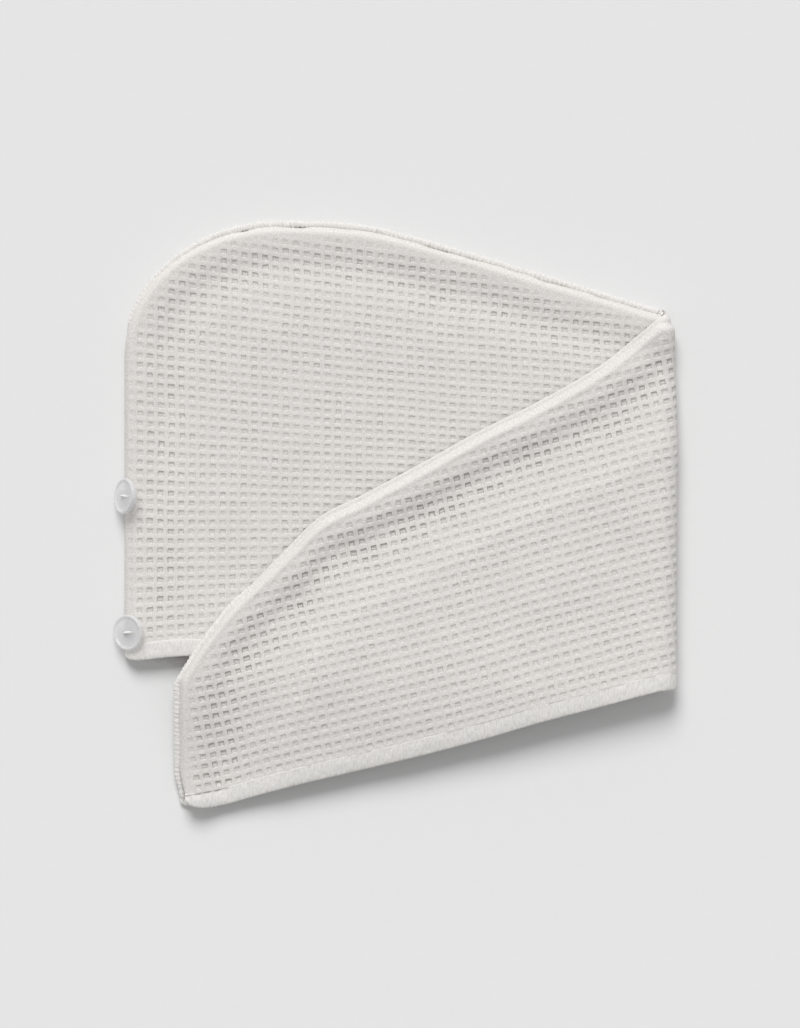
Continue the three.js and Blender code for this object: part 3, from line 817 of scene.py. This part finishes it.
def hem_runs(hood_edge, tail_edge, hood_height, tail_height, on_hood, on_its_tail, inset, prouds):
    """The hood's stretch, the bend round the fold and the tail's stretch of one panel's hem"""
    fold = float(fold_line(np.array(-10.0)))
    on_the_hood, on_the_tail = prouds
    x = np.concatenate([[0, 0.3, 0.8, 1.6], np.linspace(2.6, fold, 300)])
    flat = np.ones_like(x)
    hood = (x, hood_edge(x) + HEM_WIDTH, corner_width(x, 8, 0.33), on_the_hood * flat, 0 * flat, on_hood)
    y = np.array([-8.0])
    turn = float(fold_radius(y, hood_height, tail_height)[0]) * math.pi
    share = np.linspace(0.97, 0.03, 30)
    low = between(tail_edge(np.array(0.0)), hood_edge(HOOD_LENGTH), share) + HEM_WIDTH
    proud = between(on_the_tail, on_the_hood, eased(0, 1, share))
    bend = (fold + turn * share, low, np.full(30, HEM_WIDTH), proud, 0.3 * (1 - share), on_its_tail)
    end = TAIL_END + inset + TAIL_DRAW_IN
    x = np.concatenate([np.linspace(fold, end + 2.6, 280), end + np.array([1.6, 0.8, 0.3, 0])])
    edge, width = tail_edge(along_of(x)) + HEM_WIDTH, corner_width(x - end, 18, 0.8)
    crease = 0.3 + 0.9 * eased(32, 20, x - end)
    tail = (x, edge, width, on_the_tail + 0 * x, crease, on_its_tail)
    return [hood, bend, tail]


far_heights = (far_hood_height, far_tail_height)
far_runs = hem_runs(hood_hem, tail_hem, *far_heights, on_far_hood, on_far_tail, SEAM_STEP, (0, 1))
far_hem = hem_piece("far_hem_band", far_runs)
near_edges = (near_hood_hem, near_tail_hem)
near_heights = (near_hood_height, near_tail_height)
near_runs = hem_runs(*near_edges, *near_heights, on_near_hood, on_near_tail, 0.0, (1, 0.3))
near_hem = hem_piece("near_hem_band", near_runs)

# The sewn edge
ROLL, ROLL_HALF_HEIGHT, ROLL_SEAT = 2.2, 1.75, 1.3
HOOD_ROLL_HEIGHT, FOLD_ROLL_RADIUS = 2.4, 2.6


def seam_roll():
    """The turned-in edge of both panels, a soft cord of cloth from the crown round the fold to the
    tail's hem; beside the hood's top and the tail's end it shows outside a stitched groove."""
    x = np.concatenate([0.4 + 24 * np.linspace(0, 1, 60) ** 2, np.linspace(25, HOOD_LENGTH, 320)])
    y = top_seam(x)
    hood = np.stack([x, y, np.full_like(x, HOOD_ROLL_HEIGHT)], -1)
    turn = np.linspace(0, math.pi, 16)[1:-1]
    arc_x = HOOD_LENGTH + FOLD_ROLL_RADIUS * np.sin(turn)
    arc_y = between(y[-1], tail_seam(0.0), turn / math.pi)
    arc = np.stack([arc_x, arc_y, 4.6 - FOLD_ROLL_RADIUS * np.cos(turn)], -1)
    along = np.linspace(0, 1, 420)
    edge_y = tail_seam(along)
    tail_x = between(HOOD_LENGTH, TAIL_END, along)
    seat = near_tail_height(along, edge_y - SEAM_STEP) + ROLL_SEAT
    tail = np.stack([tail_x, edge_y, seat], -1)
    down = np.linspace(edge_y[-1], tail_hem(1.0) + HEM_WIDTH - 2, 80)[1:]
    left = tail_left_edge(down, 0.0)
    end = np.stack([left, down, near_tail_height(np.ones(len(down)), down) + ROLL_SEAT], -1)
    path = np.concatenate([hood, arc, tail, end])
    tangent = np.gradient(path, axis=0)
    tangent /= np.linalg.norm(tangent, axis=-1, keepdims=True)
    beside_tail = curve(TAIL_ALONG, FAR_DRAWN_IN, along)
    shows = [np.ones(len(hood)), np.ones(len(arc)) * 0.6, beside_tail, np.ones(len(down))]
    shows = np.concatenate(shows)
    up = np.tile([0.0, 0.0, 1.0], (len(path), 1))
    over = len(hood) + len(arc)
    up[len(hood) : over] = np.stack([-np.sin(turn), 0 * turn, np.cos(turn)], -1)
    up[over:] = (0, 0, -1)
    side = np.cross(tangent, up)
    side /= np.linalg.norm(side, axis=-1, keepdims=True)
    length = np.concatenate([[0], np.cumsum(np.linalg.norm(np.diff(path, axis=0), axis=-1))])
    wide = ROLL * (1 + 0.12 * drift(length, 0 * length, 12, 15))
    inner = path + side * (wide + 1.5 * (1 - shows))[:, None]
    size = np.minimum(1, 0.15 + eased(0, 14, length))
    size = size * np.minimum(1, 0.3 + eased(0, 5, length[-1] - length))
    angle = np.linspace(0, 2 * math.pi, 19)[:-1]
    slant = 0.14 * np.cos(2 * math.pi * length[:, None] / 2.9 - angle)
    lump = 1 + slant + 0.1 * drift(length[:, None], 2 * np.cos(angle), 2.3, 16)
    ring = (
        inner[:, None]
        + side[:, None] * (np.cos(angle) * lump * (wide * size)[:, None])[..., None]
        + up[:, None] * (np.sin(angle) * lump * (ROLL_HALF_HEIGHT * size)[:, None])[..., None]
    )
    verts, polygons = swept(ring)
    weave = np.stack(np.broadcast_arrays(length[:, None], 2 * angle, 120.0), -1).reshape(-1, 3)
    return piece_from("sewn_edge", [(verts, polygons, np.zeros(len(verts)), weave)], HEM)


sewn_edge = seam_roll()

# Buttons
BUTTON, BUTTON_THICKNESS, BUTTON_FLOOR, BUTTON_RIM = 22.8, 3.2, 2.1, 2.2
BACK_ROUND, RIM_ROUND, SHARP_ANGLE = 0.55, 1.05, 38
DISH_FALL = ((-0.25, 0.35), (0.15, 0.75), (0.7, 0.95), (1.4, 1))
HOLE, HOLE_SPACING, THREAD_WIDTH = 2.4, 5.4, 1.5
STRANDS, STRAND_RADIUS, THREAD_BEND, THREAD_FOOT = ((-0.42, 0.0), (0.42, 0.05), (0.0, 0.3)), 0.42, 1.5, 3.0
# Each button's place up the nape, in from the edge and above it, then its lean and its turn
SEATS = {"lower": (0.0638, 0.125, 0.3, 36, 4), "upper": (0.372, 0.04, 0.335, 57, -5)}


def lathed(profile, sides):
    rings = [(r, z) for r, z in profile if r > 0]
    turn = np.linspace(0, 2 * math.pi, sides + 1)[:-1]
    verts = [(r * math.cos(a), r * math.sin(a), z) for r, z in rings for a in turn]
    n = len(rings)
    faces = []
    for i in range(n - 1):
        for j in range(sides):
            k = (j + 1) % sides
            faces.append((i * sides + j, i * sides + k, (i + 1) * sides + k, (i + 1) * sides + j))
    faces.append(tuple(reversed(range(sides))))
    faces.append(tuple(range((n - 1) * sides, n * sides)))
    return verts, faces


def object_of(name, verts, faces):
    mesh = bpy.data.meshes.new(name)
    mesh.from_pydata([tuple(c / 1000 for c in v) for v in verts], [], faces)
    made = bpy.data.objects.new(name, mesh)
    bpy.context.scene.collection.objects.link(made)
    return made


def seat_matrix(up_nape, inside, above, lean, turn):
    height = 2 * CLOTH + SEAM_GAP + BUTTON * above
    place = np.array([BUTTON * inside, HOOD_DEPTH * up_nape, height]) + ORIGIN
    tilt = Matrix.Rotation(math.radians(turn), 4, "Z") @ Matrix.Rotation(-math.radians(lean), 4, "Y")
    return Matrix.Translation(place / 1000) @ tilt


def button(name, seat):
    """A dished disc with a raised, rounded rim and two holes"""
    r, t, f = BUTTON / 2, BUTTON_THICKNESS, BUTTON_FLOOR
    low, high = r - BACK_ROUND, r - RIM_ROUND
    turn = np.linspace(-math.pi / 2, 0, 7)
    arc = [(low + BACK_ROUND * math.cos(a), 0.75 * (1 + math.sin(a))) for a in turn]
    turn = np.linspace(0, 2.2, 12)
    rim = [(high + RIM_ROUND * math.cos(a), t - RIM_ROUND + RIM_ROUND * math.sin(a)) for a in turn]
    dish = [(r - BUTTON_RIM - x, f + (rim[-1][1] - f) * (1 - s)) for x, s in DISH_FALL]
    profile = [(r * 0.7, 0), *arc, *rim, *dish, (r * 0.3, f)]
    body = object_of(name, *lathed(profile, 96))
    for side in (-1, 1):
        bore = lathed([(HOLE / 2, -9), (HOLE / 2, 9)], 32)
        shifted = [(x + side * HOLE_SPACING / 2, y, z) for x, y, z in bore[0]]
        drill = object_of("drill", shifted, bore[1])
        cut = body.modifiers.new("bore", "BOOLEAN")
        cut.object, cut.operation, cut.solver = drill, "DIFFERENCE", "EXACT"
        shape = bpy.data.meshes.new_from_object(body.evaluated_get(bpy.context.evaluated_depsgraph_get()))
        body.modifiers.clear()
        body.data = shape
        bpy.data.objects.remove(drill)
    body.data.transform(seat @ Matrix.Translation((0, 0, -f / 2000)))
    body.data.shade_smooth()
    body.data.set_sharp_from_angle(angle=math.radians(SHARP_ANGLE))
    body.data.materials.clear()
    body.data.materials.append(RESIN)
    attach(body, "root")
    return body


def thread(name, seat):
    """A few strands, up through one hole, across the face and down through the other"""
    half, top = HOLE_SPACING / 2, BUTTON_FLOOR / 2 + THREAD_WIDTH / 2 + 0.35
    b = THREAD_BEND
    shells = []
    for dy, dz in STRANDS:
        bend = np.linspace(0, math.pi / 2, 7)
        left = [(-half, -THREAD_FOOT), (-half, top - b)]
        left += [(-half + b * (1 - math.cos(a)), top - b + (b + dz) * math.sin(a)) for a in bend[1:]]
        right = [(-x, z) for x, z in left][::-1]
        path = np.array([(x, dy, z) for x, z in [*left, (0, top + dz), *right]])
        tangent = np.gradient(path, axis=0)
        tangent /= np.linalg.norm(tangent, axis=-1, keepdims=True)
        side = np.tile([0.0, 1.0, 0.0], (len(path), 1))
        up = np.cross(tangent, side)
        angle = np.linspace(0, 2 * math.pi, 9)[:-1]
        across = side[:, None] * np.cos(angle)[..., None] + up[:, None] * np.sin(angle)[..., None]
        shells.append(swept(path[:, None] + STRAND_RADIUS * across))
    verts, faces, total = [], [], 0
    for v, f in shells:
        verts += v.tolist()
        faces += [tuple(total + i for i in q) for q in f]
        total += len(v)
    made = object_of(name, verts, faces)
    work = bmesh.new()
    work.from_mesh(made.data)
    bmesh.ops.recalc_face_normals(work, faces=work.faces)
    work.to_mesh(made.data)
    work.free()
    made.data.transform(seat)
    made.data.shade_smooth()
    made.data.materials.append(THREAD)
    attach(made, "root")
    return made


button_pieces = []
for which, place in SEATS.items():
    seat = seat_matrix(*place)
    disc = button(which + "_clear_button", seat)
    strand = thread(which + "_button_thread", seat)
    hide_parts(which + "_button")
    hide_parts(which + "_thread")
    button_pieces += [disc, strand]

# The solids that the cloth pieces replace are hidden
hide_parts("near_panel")
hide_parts("near_panel")
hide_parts("far_panel")
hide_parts("far_panel")
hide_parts("near_hem")
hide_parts("far_hem")

# Table, light and camera
table_mesh = bpy.data.meshes.new("table")
reach = 3.0
corners = [(-reach, -reach, 0), (reach, -reach, 0), (reach, reach, 0), (-reach, reach, 0)]
table_mesh.from_pydata(corners, [], [(0, 1, 2, 3)])
table_mesh.materials.append(table_paper())
table = bpy.data.objects.new("table", table_mesh)
bpy.context.scene.collection.objects.link(table)

world = bpy.data.worlds.new("studio")
bpy.context.scene.world = world
world.use_nodes = True
world.node_tree.nodes.clear()
SKY_STRENGTH, SUN_STRENGTH, SUN_SPREAD = 0.433, 2.39, 32
sky = add(world.node_tree, "Background", {"Color": colour("#ffffff"), "Strength": SKY_STRENGTH})
add(world.node_tree, "OutputWorld", {"Surface": sky.outputs["Background"]})

# One large soft light from beyond the crown, a little to the left
soft = bpy.data.lights.new("window", "SUN")
soft.energy, soft.angle = SUN_STRENGTH, math.radians(SUN_SPREAD)
window = bpy.data.objects.new("window", soft)
window.rotation_euler = (math.radians(-46), 0, math.radians(8))
bpy.context.scene.collection.objects.link(window)

lens = bpy.data.cameras.new("camera")
camera = bpy.data.objects.new("camera", lens)
# The photograph's 1028 pixels at 0.632 mm each, seen from 4 m up
DISTANCE, FRAME_HEIGHT = 4.0, 1.028 * 0.632
lens.sensor_width, lens.lens = 36.0, 36.0 * DISTANCE / FRAME_HEIGHT
lens.clip_end = 20
camera.location = (0.002927, -0.000006, DISTANCE + 0.006)
bpy.context.scene.collection.objects.link(camera)
bpy.context.scene.camera = camera
bpy.context.scene.view_settings.view_transform = "Standard"
